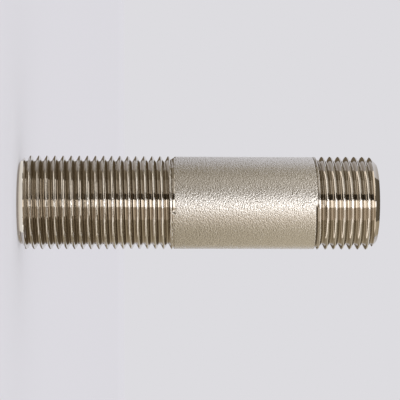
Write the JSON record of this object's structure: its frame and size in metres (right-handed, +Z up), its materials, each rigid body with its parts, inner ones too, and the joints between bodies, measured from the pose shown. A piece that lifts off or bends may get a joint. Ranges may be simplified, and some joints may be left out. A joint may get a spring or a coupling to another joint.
{
  "type": "long thread nipple",
  "caption": "Straight metal pipe nipple with a long male pipe thread at one end, a short one at the other, a plain barrel between them and a bore right through.",
  "frame": {"origin": "centre of the end face of the long threaded end, which the nipple stands on", "axes": "+Z up along the axis, from the long threaded end to the short one; X and Y are alike"},
  "size_m": [0.021, 0.021, 0.08],
  "materials": {
    "nickel_plated_brass": "bright turned metal under a thin nickel plating"
  },
  "bodies": {
    "root": {"nipple": "nickel_plated_brass"}
  },
  "joints": []
}
